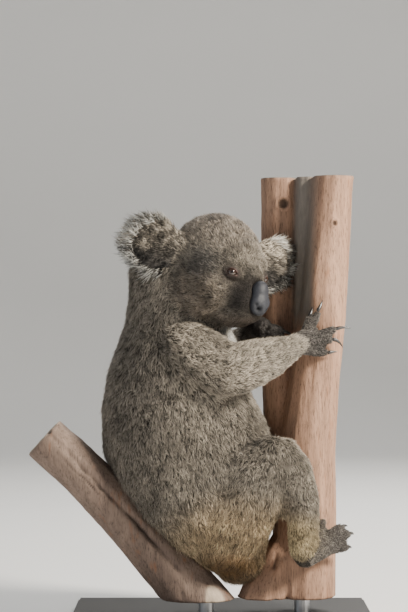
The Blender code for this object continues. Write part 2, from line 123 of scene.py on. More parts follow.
def tinted(base, colour, share):
    """The colours mixed with one more, by each point's share."""
    return base + share[:, None] * (np.array(colour) - base)


def smooth_step(low, high, value):
    """0 below low, 1 above high, with an even rise between them."""
    t = np.clip((value - low) / (high - low), 0, 1)
    return t * t * (3 - 2 * t)


def lattice(cells, seed):
    """A fixed number from 0 to 1 for each whole-numbered cell."""
    mixed = cells[:, 0] * 374761393 + cells[:, 1] * 668265263 + cells[:, 2] * 2147483629
    mixed = (mixed + seed * 1274126177) & 0xFFFFFFFF
    mixed = ((mixed ^ (mixed >> 13)) * 1274126177) & 0xFFFFFFFF
    return ((mixed ^ (mixed >> 16)) & 0xFFFFFF) / 0xFFFFFF


def blotches(points, size, seed):
    """Soft noise from 0 to 1, with blotches about as wide as size."""
    places = points / size
    cells = np.floor(places).astype(np.int64)
    part = places - cells
    part = part * part * (3 - 2 * part)
    total = np.zeros(len(points))
    for corner in range(8):
        step = np.array([corner & 1, corner >> 1 & 1, corner >> 2 & 1])
        weight = np.prod(np.where(step, part, 1 - part), axis=1)
        total += weight * lattice(cells + step, seed)
    return total


def unit(vectors):
    """The vectors at length 1."""
    return vectors / np.maximum(np.linalg.norm(vectors, axis=-1, keepdims=True), 1e-12)


def across(vectors, normals):
    """The vectors laid flat on the surface."""
    return unit(vectors - normals * np.sum(vectors * normals, axis=1, keepdims=True))


def in_head(points):
    """Points in the head's axes, in millimetres."""
    turn = np.array(HEAD_AXES.inverted())
    return (points @ turn[:3, :3].T + turn[:3, 3]) / MM


def out_of_head(points):
    """Points of the head's axes, in millimetres, in the model's axes, in metres."""
    turn = np.array(HEAD_AXES)
    return np.asarray(points, float) * MM @ turn[:3, :3].T + turn[:3, 3]


def head_way(direction):
    """A direction of the head's axes, in the model's axes."""
    return unit(np.asarray(direction, float) @ np.array(HEAD_AXES)[:3, :3].T)


def points_of(mesh, kind="co"):
    """The mesh's points, or the normals at them, as an array."""
    items = mesh.vertex_normals if kind == "normal" else mesh.vertices
    found = np.empty(len(items) * 3, np.float32)
    items.foreach_get("vector" if kind == "normal" else "co", found)
    return found.reshape(-1, 3).astype(float)


def put_points(mesh, points):
    """Moves the mesh's points to these places."""
    mesh.vertices.foreach_set("co", points.astype(np.float32).ravel())
    mesh.update()


def edges_of(mesh):
    """The two ends of each edge of the mesh."""
    found = np.empty(len(mesh.edges) * 2, np.int32)
    mesh.edges.foreach_get("vertices", found)
    return found.reshape(-1, 2)


def averaged(values, edges, rounds, amount=0.5):
    """Values evened out along the edges, as often as rounds says."""
    flat = values.reshape(len(values), -1)
    count = np.maximum(np.bincount(edges.ravel(), minlength=len(flat)), 1)[:, None]
    share = amount if np.isscalar(amount) else amount[:, None]
    for _ in range(rounds):
        total = np.empty_like(flat)
        for column in range(flat.shape[1]):
            near = np.bincount(edges[:, 0], flat[edges[:, 1], column], len(flat))
            total[:, column] = near + np.bincount(edges[:, 1], flat[edges[:, 0], column], len(flat))
        flat = flat + share * (total / count - flat)
    return flat.reshape(values.shape)


def mesh_of(name, points, faces):
    """A mesh from arrays, every face with the same number of corners."""
    count, sides = faces.shape
    mesh = bpy.data.meshes.new(name)
    mesh.vertices.add(len(points))
    mesh.vertices.foreach_set("co", points.astype(np.float32).ravel())
    mesh.loops.add(count * sides)
    mesh.loops.foreach_set("vertex_index", faces.astype(np.int32).ravel())
    mesh.polygons.add(count)
    mesh.polygons.foreach_set("loop_start", np.arange(0, count * sides, sides, dtype=np.int32))
    mesh.update(calc_edges=True)
    return mesh


def shade_smooth(mesh):
    """Makes every face of the mesh shade smoothly."""
    mesh.polygons.foreach_set("use_smooth", np.ones(len(mesh.polygons), bool))


def write_numbers(mesh, name, values):
    """Stores one number for each point, for a material to read."""
    layer = mesh.attributes.new(name, "FLOAT", "POINT")
    layer.data.foreach_set("value", values.astype(np.float32))


def write_colours(mesh, name, colours):
    """Stores one colour for each point, for a material to read."""
    layer = mesh.attributes.new(name, "FLOAT_COLOR", "POINT")
    full = np.concatenate([colours, np.ones((len(colours), 1))], axis=1)
    layer.data.foreach_set("color", full.astype(np.float32).ravel())


def add_piece(name, mesh, material, replaced=()):
    """The mesh as a finished piece that rides on the model's one body."""
    piece = bpy.data.objects.new(name, mesh)
    bpy.context.scene.collection.objects.link(piece)
    mesh.materials.clear()
    mesh.materials.append(material)
    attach(piece, "root")
    if replaced:
        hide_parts(*replaced)
    return piece


def merged_copy(name):
    """A CAD node's mesh with its loose triangles joined up."""
    solid = bmesh.new()
    solid.from_mesh(NODES[name].data)
    bmesh.ops.remove_doubles(solid, verts=solid.verts, dist=1e-6)
    mesh = bpy.data.meshes.new(name + "_copy")
    solid.to_mesh(mesh)
    solid.free()
    return mesh


def evened(mesh, voxel):
    """The mesh rebuilt from small even squares, with all its closed parts made one."""
    helper = bpy.data.objects.new("rebuilt", mesh)
    bpy.context.scene.collection.objects.link(helper)
    rebuild = helper.modifiers.new("rebuild", "REMESH")
    rebuild.mode = "VOXEL"
    rebuild.voxel_size = voxel
    graph = bpy.context.evaluated_depsgraph_get()
    made = bpy.data.meshes.new_from_object(helper.evaluated_get(graph))
    bpy.data.objects.remove(helper)
    return made


def gathered(names, swell):
    """The nodes' meshes in one, each grown a little so that neighbours meet."""
    points, faces, start = [], [], 0
    for name in names:
        mesh = merged_copy(name)
        mesh.calc_loop_triangles()
        found = np.empty(len(mesh.loop_triangles) * 3, np.int32)
        mesh.loop_triangles.foreach_get("vertices", found)
        points.append(points_of(mesh) + swell * points_of(mesh, "normal"))
        faces.append(found.reshape(-1, 3) + start)
        start += len(mesh.vertices)
        bpy.data.meshes.remove(mesh)
    return mesh_of("gathered", np.concatenate(points), np.concatenate(faces))


class Shader:
    """A material that is built node by node."""

    def __init__(self, name, **constants):
        self.material = bpy.data.materials.new(name)
        self.material.use_nodes = True
        self.tree = self.material.node_tree
        self.surface = self.tree.nodes["Principled BSDF"]
        for socket, value in constants.items():
            self.surface.inputs[socket.replace("_", " ")].default_value = value

    def add(self, kind, inputs=None, **settings):
        made = self.tree.nodes.new("ShaderNode" + kind)
        for key, value in settings.items():
            setattr(made, key, value)
        for key, value in (inputs or {}).items():
            if isinstance(value, bpy.types.NodeSocket):
                self.tree.links.new(value, made.inputs[key])
            else:
                made.inputs[key].default_value = value
        return made

    def place(self, scale=(1, 1, 1), turn=(0, 0, 0)):
        """Object coordinates in metres, stretched and turned."""
        source = self.add("TexCoord").outputs["Object"]
        return self.add(
            "Mapping", {"Vector": source, "Scale": scale, "Rotation": turn}
        ).outputs["Vector"]

    def noise(self, vector, size, detail=3.0, rough=0.55, twist=0.0):
        return self.add(
            "TexNoise",
            {"Vector": vector, "Scale": 1 / size, "Detail": detail, "Roughness": rough,
             "Distortion": twist},
        ).outputs["Fac"]

    def ramp(self, factor, *stops):
        """A colour ramp; each stop is a place and a grey or a colour."""
        made = self.add("ValToRGB", {"Fac": factor})
        steps = made.color_ramp.elements
        while len(steps) < len(stops):
            steps.new(0.5)
        for step, (place, colour) in zip(steps, stops):
            step.position = place
            full = (colour,) * 3 if isinstance(colour, (int, float)) else colour
            step.color = (*full, 1)
        return made.outputs["Color"]

    def mix(self, factor, low, high, blend="MIX"):
        made = self.add("Mix", data_type="RGBA", blend_type=blend)
        for index, value in ((0, factor), (6, low), (7, high)):
            if isinstance(value, bpy.types.NodeSocket):
                self.tree.links.new(value, made.inputs[index])
            else:
                made.inputs[index].default_value = (
                    value if index == 0 else (*value, 1)
                )
        return made.outputs[2]

    def sum(self, operation, low, high):
        return self.add("Math", {0: low, 1: high}, operation=operation).outputs[0]

    def attribute(self, name, output="Color"):
        return self.add("Attribute", attribute_name=name).outputs[output]

    def link(self, value, socket):
        self.tree.links.new(value, self.surface.inputs[socket])

    def bump(self, height, depth, strength=1.0, under=None):
        inputs = {"Height": height, "Distance": depth, "Strength": strength}
        if under:
            inputs["Normal"] = under
        return self.add("Bump", inputs).outputs["Normal"]


# The coat's colours, as light at the tips and darker at the roots.
BODY_TIP, BODY_ROOT = (0.44, 0.385, 0.31), (0.045, 0.038, 0.031)
# Each marking or painted shade: head axes or the model's, middle, half sizes, softness, tip, root,
# strength.
MARKS_AND_SHADE = (
    ("body", (-120, 0, 330), (62, 130, 240), 0.45, (0.23, 0.205, 0.175), (0.032, 0.027, 0.023), 0.7),
    ("body", (20, 0, 128), (92, 150, 66), 0.45, (0.80, 0.60, 0.36), (0.18, 0.115, 0.06), 0.95),
    ("body", (108, 0, 128), (36, 150, 36), 0.45, (0.76, 0.61, 0.36), (0.17, 0.12, 0.06), 0.9),
    ("body", (12, -60, 90), (38, 90, 20), 0.6, (0.40, 0.22, 0.08), (0.10, 0.045, 0.015), 0.8),
    ("body", (14, 0, 408), (30, 60, 22), 0.4, (0.97, 0.94, 0.88), (0.60, 0.56, 0.50), 1.0),
    # Painted shade: the far arm and hand under the chin made dark brown-black.
    ("body", (70, 50, 400), (66, 60, 40), 0.4, (0.085, 0.07, 0.06), (0.02, 0.016, 0.013), 0.85),
    ("head", (10, 0, 52), (62, 56, 40), 0.5, (0.47, 0.39, 0.31), (0.085, 0.07, 0.055), 0.8),
    ("head", (18, -52, -38), (36, 40, 34), 0.5, (0.29, 0.23, 0.17), (0.055, 0.04, 0.03), 0.8),
    ("head", (18, 52, -38), (36, 40, 34), 0.5, (0.29, 0.23, 0.17), (0.055, 0.04, 0.03), 0.8),
    ("head", (26, -56, 0), (20, 26, 20), 0.5, (0.13, 0.12, 0.11), (0.028, 0.025, 0.022), 0.75),
    ("head", (26, 56, 0), (20, 26, 20), 0.5, (0.13, 0.12, 0.11), (0.028, 0.025, 0.022), 0.75),
    ("head", (72, 0, -34), (31, 44, 30), 0.4, (0.055, 0.044, 0.037), (0.016, 0.013, 0.011), 0.95),
    ("head", (60, -36, -8), (14, 15, 13), 0.45, (0.12, 0.095, 0.08), (0.03, 0.024, 0.02), 0.85),
    ("head", (60, 36, -8), (14, 15, 13), 0.45, (0.12, 0.095, 0.08), (0.03, 0.024, 0.02), 0.85),
    ("head", (62, 0, -72), (30, 34, 14), 0.5, (0.20, 0.145, 0.11), (0.05, 0.035, 0.027), 0.6),
)
# Painted shade for the ears' lower parts, as tip and root colours.
EAR_PAINTED_SHADE = ((0.075, 0.068, 0.062), (0.015, 0.013, 0.012))
EAR_FRINGE = ((0.74, 0.72, 0.66), (0.30, 0.28, 0.25))
PAW_DARK = ((0.115, 0.105, 0.10), (0.03, 0.026, 0.024))
LID_BROWN, LID_PINK = (0.045, 0.032, 0.028), (0.25, 0.145, 0.13)
LIP_BROWN, PAD_GREY = (0.10, 0.06, 0.05), (0.10, 0.088, 0.085)


def marked_and_shaded(points, kinds):
    """The coat's tip and root colours at points on the skin, with painted shade on the far arm and the
    ears' lower parts; kinds says which part each is on.
    """
    local = in_head(points)
    places = {"body": points / MM, "head": local}
    coat = bpy.context.scene.koala_coat
    tip = np.tile(np.array(coat.tips), (len(points), 1))
    root = np.tile(np.array(coat.roots), (len(points), 1))
    on_ear = among(kinds, EARS)
    on_head = kinds == PART_NAMES.index("head")
    for axes, middle, half, soft, tips, roots, strength in MARKS_AND_SHADE:
        reach = np.linalg.norm((places[axes] - middle) / half, axis=1)
        share = strength * smooth_step(1 + soft, 1 - soft, reach)
        share = share * (on_head if axes == "head" else ~on_head & ~on_ear)
        tip, root = tinted(tip, tips, share), tinted(root, roots, share)
    # The paws get their own dark coat; the ears are painted darker towards the bottom as painted shade.
    for (tips, roots), share in (
        (PAW_DARK, 0.85 * among(kinds, PAWS)),
        (EAR_PAINTED_SHADE, smooth_step(30, -4, local[:, 2]) * on_ear),
    ):
        tip, root = tinted(tip, tips, share), tinted(root, roots, share)
    return np.clip(tip, 0, 1), np.clip(root, 0, 1)


def part_fields(points):
    """Which part each point is on, with its tuft length, width, crowding and lie."""
    triangles, owner, corners, start = [], [], [], 0
    for index, name in enumerate(PART_NAMES):
        mesh = NODES[name].data
        mesh.calc_loop_triangles()
        found = np.empty(len(mesh.loop_triangles) * 3, np.int32)
        mesh.loop_triangles.foreach_get("vertices", found)
        triangles.append(found.reshape(-1, 3) + start)
        owner += [index] * (len(found) // 3)
        corners.append(points_of(mesh))
        start += len(mesh.vertices)
    tree = BVHTree.FromPolygons(np.concatenate(corners).tolist(), np.concatenate(triangles).tolist())
    kinds = np.array([owner[tree.find_nearest(Vector(p))[2]] for p in points])
    table = np.array([FLESH[name][:3] for name in PART_NAMES], float)
    length, width, crowd = table[kinds].T
    lie = np.zeros((len(points), 3))
    for index, name in enumerate(PART_NAMES):
        route = FLESH[name][3]
        if route:
            lie[kinds == index] = unit(np.subtract(route[1], route[0]).astype(float))
    local = in_head(points)
    on_head = kinds == PART_NAMES.index("head")
    from_nose = local - NOSE_TIP
    lie[on_head] = head_way(unit(from_nose)[on_head])
    for name, (base, tip) in EARS.items():
        out = unit(np.subtract(tip, base).astype(float))
        spread = unit(local - base) * 0.6 + out * 0.6
        where = kinds == PART_NAMES.index(name)
        lie[where] = head_way(unit(spread)[where])
    muzzle = smooth_step(20, 92, np.linalg.norm(from_nose, axis=1))
    length = np.where(on_head, 2.4 + 7.0 * muzzle, length)
    width = np.where(on_head, 0.7 + 0.5 * muzzle, width)
    crowd = np.where(on_head, 170 - 80 * muzzle, crowd)
    for side in (-1, 1):
        reach = np.linalg.norm(local - mirrored(EYE_PLACE, side), axis=1)
        near = smooth_step(30, 9, reach) * on_head
        length = length - near * (length - 1.8)
        width = width - near * (width - 0.6)
    return kinds, length, width, crowd, lie


def mirrored(place, side):
    """A point of the head's left side, or its twin on the right where side is -1."""
    return np.array((place[0], side * place[1], place[2]), float)


def eye_axes(side):
    """The eye's middle and its axes as rows: towards the nose, up, and out of the head."""
    out = unit(mirrored(EYE_AXIS, side))
    inward = np.array((0.70, -side * 0.70, -0.16))
    inward = unit(inward - out * inward.dot(out))
    up = np.cross(out, inward) * (1 if side < 0 else -1)
    up = up if up[2] > 0 else -up
    return mirrored(EYE_PLACE, side), np.array((inward, up, out))


def shape_lids(local, side):
    """Points of the face moved so that two lids close round the eye's ball."""
    middle, axes = eye_axes(side)
    near = (local - middle) @ axes.T
    along, up, out = near.T
    width = 7.0 + 1.6 * smooth_step(0, 6, along)
    height = np.where(up > 0, 5.2, 4.2) * (1 - 0.25 * smooth_step(1, 7, along))
    ring = np.hypot(along / width, up / height)
    span = np.hypot(along, up)
    ball = np.sqrt(np.maximum(EYE_RADIUS**2 - np.minimum(span, 6.6) ** 2, 0))
    ball = ball - np.maximum(span - 6.6, 0) * 0.75
    lid = ball + 1.3 + 0.5 * np.exp(-(((ring - 1.15) / 0.22) ** 2))
    share = smooth_step(2.9, 1.5, ring) * (out > -8)
    moved = out + share * (lid - out)
    moved = moved - 0.9 * np.exp(-(((ring - 1.95) / 0.22) ** 2)) * (up > -1) * (out > -8)
    inside = smooth_step(1.04, 0.90, ring) * (out > -8)
    moved = moved + inside * (ball - 3.0 - moved)
    return local + np.outer(moved - out, axes[2])


def grooved(points, normals, route, wide, deep):
    """Points pushed in along a route of (x, y, z, share of the depth)."""
    route = np.array(route, float)
    best = np.zeros(len(points))
    for start, end in zip(route[:-1], route[1:]):
        run = end[:3] - start[:3]
        t = np.clip((points - start[:3]) @ run / run.dot(run), 0, 1)
        reach = np.linalg.norm(points - start[:3] - t[:, None] * run, axis=1)
        depth = start[3] + t * (end[3] - start[3])
        best = np.maximum(best, depth * np.exp(-((reach / wide) ** 2)))
    return points - normals * (best * deep)[:, None], best


MOUTH = ((90, 0, -62, 0.7), (78, 17, -66, 1), (62, 29, -66, 1), (46, 36, -60, 0.6), (38, 40, -56, 0))
# Body folds, each a route of (x, y, z, share of the depth); the coat over them is darkened as painted
# shade.
FOLDS = (
    ((6, -112, 262, 0), (8, -112, 250, 1), (10, -108, 230, 0.8), (9, -106, 222, 0)),
    ((16, -104, 214, 0), (19, -104, 204, 1), (23, -104, 192, 0.7), (25, -104, 186, 0)),
    ((-98, -80, 318, 0.2), (-60, -96, 322, 1), (-20, -108, 318, 1), (30, -104, 322, 0.8)),
    ((84, -92, 214, 0.3), (82, -92, 190, 1), (86, -88, 160, 1), (94, -84, 120, 0.3)),
)


def make_skin(voxel):
    """The one skin under the coat, with lids, mouth, folds and its own unwrap."""
    mesh = evened(gathered(FLESH, MEETING * MM), voxel)
    edges = edges_of(mesh)
    points = points_of(mesh)
    kinds, length = part_fields(points)[:2]
    paws = among(kinds, PAWS)
    head = kinds == PART_NAMES.index("head")
    calm = np.where(paws, 0.05, np.where(head, 0.30, 0.6))
    points = averaged(points, edges, 14, averaged(calm, edges, 6))
    length = averaged(length, edges, 8)
    put_points(mesh, points)
    for _ in range(SINK_STEPS):
        sink = (LEAST_SINK + SINK_SHARE * length - PAW_RISE * paws) * MM / SINK_STEPS
        points = points_of(mesh) - points_of(mesh, "normal") * sink[:, None]
        put_points(mesh, averaged(points, edges, 1, averaged(calm, edges, 3)))
    refine_face(mesh)
    local = in_head(points_of(mesh))
    for side in (-1, 1):
        local = shape_lids(local, side)
    put_points(mesh, out_of_head(local))
    normals = points_of(mesh, "normal")
    points, crease = points_of(mesh), 0
    for flip in (-1, 1):
        route = [tuple(np.array(out_of_head(((x, flip * y, z),)))[0]) + (s,) for x, y, z, s in MOUTH]
        points, found = grooved(points, normals, route, MOUTH_WIDE * MM, MOUTH_DEEP * MM)
        crease = np.maximum(crease, found)
        folds = [[(x * MM, -flip * y * MM, z * MM, s) for x, y, z, s in f] for f in FOLDS]
        for fold in folds:
            points, found = grooved(points, normals, fold, FOLD_WIDE * MM, FOLD_DEEP * MM)
            crease = np.maximum(crease, found)
    put_points(mesh, points)
    write_numbers(mesh, "crease", crease)
    shade_smooth(mesh)
    return mesh


def refine_face(mesh):
    """Finer faces round the eyes and the mouth, where the folds are small."""
    solid = bmesh.new()
    solid.from_mesh(mesh)
    middles = [Vector(out_of_head(((x, s * y, z),))[0]) for s in (-1, 1) for x, y, z in
               (EYE_PLACE, (72, 20, -64), (50, 34, -62))]
    reaches = [19 * MM, 15 * MM, 12 * MM] * 2
    chosen = {
        edge
        for face in solid.faces
        if any((face.calc_center_median() - m).length < r for m, r in zip(middles, reaches))
        for edge in face.edges
    }
    bmesh.ops.subdivide_edges(solid, edges=list(chosen), cuts=2, use_grid_fill=True, smooth=0.0)
    bmesh.ops.triangulate(solid, faces=[f for f in solid.faces if len(f.verts) > 4])
    solid.to_mesh(mesh)
    solid.free()


def unwrap_skin(skin):
    """The skin's own unwrap, in islands that together fill the square."""
    bpy.context.view_layer.objects.active = skin
    for other in bpy.context.selected_objects:
        other.select_set(False)
    skin.select_set(True)
    skin.data.uv_layers.new(name="OFBake")
    bpy.ops.object.mode_set(mode="EDIT")
    bpy.ops.mesh.select_all(action="SELECT")
    bpy.ops.uv.smart_project(angle_limit=math.radians(66), island_margin=0.002)
    bpy.ops.object.mode_set(mode="OBJECT")
    skin.select_set(False)


def scatter(skin, tufts, chance):
    """Roots spread evenly over the skin, with what the skin says at each."""
    mesh = skin.data
    mesh.calc_loop_triangles()
    count = len(mesh.loop_triangles)
    corners = np.empty(count * 3, np.int32)
    mesh.loop_triangles.foreach_get("vertices", corners)
    corners = corners.reshape(-1, 3)
    loops = np.empty(count * 3, np.int32)
    mesh.loop_triangles.foreach_get("loops", loops)
    loops = loops.reshape(-1, 3)
    flat = np.empty(len(mesh.loops) * 2, np.float32)
    mesh.uv_layers["OFBake"].data.foreach_get("uv", flat)
    flat = flat.reshape(-1, 2).astype(float)
    points, normals = points_of(mesh), points_of(mesh, "normal")
    kinds, length, width, crowd, lie = part_fields(points)
    crease = np.empty(len(points), np.float32)
    mesh.attributes["crease"].data.foreach_get("value", crease)
    edges = edges_of(mesh)
    lie = averaged(lie, edges, 14)
    length, width, crowd = averaged(np.stack([length, width, crowd], axis=1), edges, 6).T
    a, b, c = (points[corners[:, i]] for i in range(3))
    area = np.linalg.norm(np.cross(b - a, c - a), axis=1) / 2
    weight = area * crowd[corners].mean(axis=1)
    reach = np.cumsum(weight)
    spots = (np.arange(tufts) + chance.random(tufts)) / tufts * reach[-1]
    face = np.minimum(np.searchsorted(reach, spots), count - 1)
    first, second = chance.random(tufts), chance.random(tufts)
    over = first + second > 1
    first, second = np.where(over, 1 - first, first), np.where(over, 1 - second, second)
    parts = np.stack([1 - first - second, first, second], axis=1)[:, :, None]
    own = corners[face]
    return {
        "point": (points[own] * parts).sum(1),
        "normal": unit((normals[own] * parts).sum(1)),
        "lie": (lie[own] * parts).sum(1),
        "map": (flat[loops[face]] * parts).sum(1),
        "kind": kinds[own[:, 0]],
        "length": (length[own] * parts[:, :, 0]).sum(1),
        "width": (width[own] * parts[:, :, 0]).sum(1),
        "crease": crease[own[:, 0]],
    }


def bare(root):
    """Where no tuft grows: the ball of each eye and the nose pad's place."""
    local = in_head(root["point"])
    gone = np.zeros(len(local), bool)
    for side in (-1, 1):
        middle, axes = eye_axes(side)
        along, up, out = ((local - middle) @ axes.T).T
        gone |= (np.hypot(along / 8.2, up / 5.6) < 1) & (out > -9)
    gone |= np.linalg.norm((local - (86, 0, -33)) / (15, 15, 25), axis=1) < 1
    return gone


def grow_tufts(root, chance, clump, lift):
    """Root, middle ring and tip of each tuft, the tips drawn together in clumps."""
    count = len(root["point"])
    normal = root["normal"]
    lie = across(root["lie"] + 0.16 * chance.standard_normal((count, 3)), normal)
    side = np.cross(normal, lie)
    length = root["length"] * MM * chance.uniform(0.72, 1.22, count)
    width = root["width"] * MM * chance.uniform(0.8, 1.2, count)
    low = np.radians(lift + 16 + 7 * chance.standard_normal(count))
    high = np.radians(lift + 9 * chance.standard_normal(count))
    first = lie * np.cos(low)[:, None] + normal * np.sin(low)[:, None]
    second = lie * np.cos(high)[:, None] + normal * np.sin(high)[:, None]
    second = unit(second + side * (0.20 * chance.standard_normal(count))[:, None])
    base = root["point"] - normal * ROOT_DEPTH * MM
    middle = root["point"] + first * (LOWER_SHARE * length)[:, None]
    tip = middle + second * ((1 - LOWER_SHARE) * length)[:, None]
    size = CLUMP_SIZE * MM
    shift = np.stack([blotches(root["point"], size, s) - 0.5 for s in (3, 4, 5)], axis=1)
    pull = across(shift, normal) * np.linalg.norm(shift, axis=1, keepdims=True)
    tip = tip + pull * (clump * length)[:, None]
    raised = np.cross(side, first)
    raised = np.where((raised * normal).sum(1, keepdims=True) < 0, -raised, raised)
    ring = [
        middle + side * (width / 2)[:, None],
        middle + raised * (width * THICKNESS)[:, None],
        middle - side * (width / 2)[:, None],
    ]
    return base, ring, tip


TUFT_FACES = np.array(((1, 2, 4), (2, 3, 4), (3, 1, 4), (2, 1, 0), (3, 2, 0), (1, 3, 0)))
TUFT_MAP = np.array(((0.5, 0), (0, 0.4), (0.5, 0.5), (1, 0.4), (0.5, 1)))
PATCH = 0.003


def tuft_mesh(name, root, shape, tips, roots):
    """One mesh of closed tufts, coloured from root to tip, each a patch of the map."""
    base, ring, tip = shape
    count = len(base)
    points = np.stack([base, *ring, tip], axis=1).reshape(-1, 3)
    faces = (np.arange(count)[:, None, None] * 5 + TUFT_FACES).reshape(-1, 3)
    mesh = mesh_of(name, points, faces)
    place = 0.004 + 0.988 * np.clip(root["map"], 0, 1)
    spot = place[:, None, None, :] + (TUFT_MAP[TUFT_FACES] * PATCH)[None]
    layer = mesh.uv_layers.new(name="OFBake")
    layer.data.foreach_set("uv", spot.astype(np.float32).ravel())
    shades = np.stack([roots * 0.6, *[roots * 0.35 + tips * 0.5] * 3, tips * 1.12], axis=1)
    write_colours(mesh, "tint", np.clip(shades.reshape(-1, 3), 0, 1))
    shade_smooth(mesh)
    return mesh


def coat_finish():
    """Fur: the tufts' own colours, with a fine change of tone."""
    made = Shader("koala_fur", Roughness=0.72, Sheen_Weight=0.04, Sheen_Roughness=0.5,
                  Specular_IOR_Level=0.3)
    place = made.place()
    tone = made.ramp(made.noise(place, 0.0035, 3, 0.6), (0.3, 0.72), (0.72, 1.22))
    made.link(made.mix(1.0, made.attribute("tint"), tone, "MULTIPLY"), "Base Color")
    return made.material


def skin_finish():
    """The bare skin and underfur, finely grained."""
    made = Shader("koala_skin", Roughness=0.7, Specular_IOR_Level=0.3)
    place = made.place()
    tone = made.ramp(made.noise(place, 0.002, 4, 0.6), (0.3, 0.7), (0.7, 1.25))
    made.link(made.mix(1.0, made.attribute("tint"), tone, "MULTIPLY"), "Base Color")
    made.link(made.bump(made.noise(place, 0.0012, 3), 0.0006, 0.6), "Normal")
    return made.material


COATS = {
    "coat_face": ("head",),
    "coat_ears": ("ear_right", "ear_left"),
    "coat_breast": ("neck", "chest"),
    "coat_belly": ("abdomen",),
    "coat_rump": ("rump",),
    "coat_arms": ("upper_arm_right", "forearm_right", "upper_arm_left", "forearm_left"),
    "coat_paws": ("hand_right", "hand_left", "foot_right", "foot_left"),
    "coat_legs": ("thigh_right", "thigh_left", "shank_right", "shank_left"),
}
MOST_TUFTS = 33000


def skin_tints(points, kinds, crease):
    """The skin's colours: the coat's roots, pink lids and lips, dark creases."""
    tips, roots = marked_and_shaded(points, kinds)
    tint = 0.65 * roots + 0.12 * tips
    local = in_head(points)
    head = kinds == PART_NAMES.index("head")
    for side in (-1, 1):
        middle, axes = eye_axes(side)
        along, up, out = ((local - middle) @ axes.T).T
        ring = np.hypot(along / 7.4, up / 5)
        lid = smooth_step(1.9, 1.2, ring) * (out > -9) * head
        pink = smooth_step(1.32, 1.12, ring) * (out > -9) * head * smooth_step(0, 5, up + 0.7 * along)
        tint = tinted(tint, LID_BROWN, lid)
        tint = tinted(tint, LID_PINK, 0.55 * pink)
    lips = smooth_step(0.15, 0.7, crease) * head
    tint = tinted(tint, LIP_BROWN, 0.8 * lips)
    tint = tinted(tint, PAD_GREY, 0.7 * among(kinds, PAWS))
    return np.clip(tint, 0, 1)


def make_coat(skin, tufts, clump, lift):
    """All the coat's pieces, grown from the skin and coloured tuft by tuft."""
    chance = np.random.default_rng(SEED)
    root = scatter(skin, tufts, chance)
    keep = ~bare(root)
    root = {key: value[keep] for key, value in root.items()}
    on_ear = among(root["kind"], EARS)
    local = in_head(root["point"])
    fringe = np.zeros(len(local), bool)
    for name, (base, tip) in EARS.items():
        out = unit(np.subtract(tip, base).astype(float))
        far = (local - base) @ out / np.linalg.norm(np.subtract(tip, base))
        high = (local[:, 2] - base[2]) / 34
        here = root["kind"] == PART_NAMES.index(name)
        rim = np.hypot(np.maximum(far - 0.35, 0) / 0.5, high) > 0.86
        fringe |= here & rim
    root["length"] = np.where(fringe, FRINGE_LENGTH, root["length"])
    root["width"] = np.where(fringe, FRINGE_WIDTH, root["width"])
    tips, roots = marked_and_shaded(root["point"], root["kind"])
    pale = fringe & (chance.random(len(local)) < FRINGE_PALE)
    tips[pale], roots[pale] = EAR_FRINGE
    mottle = blotches(root["point"], 6 * MM, 11) * 0.6 + blotches(root["point"], 15 * MM, 12) * 0.4
    fine = chance.random(len(local))
    tone = 0.18 + 1.35 * mottle + 0.55 * (fine - 0.5)
    # Painted shade: tufts in the mouth line and the folds darken by the depth of their crease.
    tone = tone * (1 - 0.8 * np.clip(root["crease"], 0, 1))
    dark = (fine < DARK_SHARE) & ~pale
    tone = np.where(dark, tone * DARK_TONE, tone)
    tone = np.where(on_ear & ~pale, tone * (0.6 + 0.8 * (mottle > 0.5)), tone)
    base, ring, tip = grow_tufts(root, chance, clump, lift)
    finish = coat_finish()
    for name, members in COATS.items():
        here = np.flatnonzero(among(root["kind"], members))
        parts = math.ceil(len(here) / MOST_TUFTS)
        for number in range(parts):
            some = here[number::parts]
            mesh = tuft_mesh(
                f"{name}_{number + 1}",
                {"map": root["map"][some]},
                (base[some], [r[some] for r in ring], tip[some]),
                np.clip(tips[some] * tone[some, None], 0, 1),
                np.clip(roots[some], 0, 1),
            )
            add_piece(mesh.name, mesh, finish)


def eye_finish():
    """A dark brown iris with an upright slit, under a wet clear coat."""
    made = Shader("wet_eye", Roughness=0.12, Coat_Weight=1.0, Coat_Roughness=0.02)
    turn = made.attribute("gaze", "Vector")
    parts = made.add("SeparateXYZ", {0: turn})
    wide = made.sum("ABSOLUTE", parts.outputs[0], 0.0)
    tall = made.sum("MULTIPLY", parts.outputs[1], parts.outputs[1])
    slit = made.sum("ADD", made.sum("MULTIPLY", wide, 2.6), tall)
    away = made.add("VectorMath", {0: turn}, operation="LENGTH").outputs["Value"]
    streaks = made.noise(made.place(), 0.0006, 3)
    iris = made.mix(streaks, (0.014, 0.006, 0.003), (0.045, 0.019, 0.009))
    iris = made.mix(made.ramp(away, (0.62, 0), (0.85, 1)), iris, (0.012, 0.007, 0.005))
    pupil = made.ramp(slit, (0.30, 1), (0.42, 0))
    made.link(made.mix(pupil, iris, (0.002, 0.002, 0.002)), "Base Color")
    return made.material


def make_eyes():
    """Both eyeballs, each with its cornea raised."""
    finish = eye_finish()
    for side, name in ((-1, "eye_right"), (1, "eye_left")):
        middle, axes = eye_axes(side)
        solid = bmesh.new()
        bmesh.ops.create_uvsphere(solid, u_segments=48, v_segments=32, radius=1)
        mesh = bpy.data.meshes.new(name + "_ball")
        solid.to_mesh(mesh)
        solid.free()
        ball = points_of(mesh)
        away = np.hypot(ball[:, 0], ball[:, 1])
        cornea = 1 + CORNEA_RISE * smooth_step(0.72, 0.35, away) * (ball[:, 2] > 0)
        spot = ball * cornea[:, None] * EYE_RADIUS
        put_points(mesh, out_of_head(middle + spot @ axes))
        if np.linalg.det(axes) < 0:
            mesh.flip_normals()
        layer = mesh.attributes.new("gaze", "FLOAT_VECTOR", "POINT")
        gaze = np.where(ball[:, 2:] > 0, ball, 1.5) * (1, 1, 0)
        layer.data.foreach_set("vector", gaze.astype(np.float32).ravel())
        shade_smooth(mesh)
        add_piece(name + "_ball", mesh, finish, (name,))


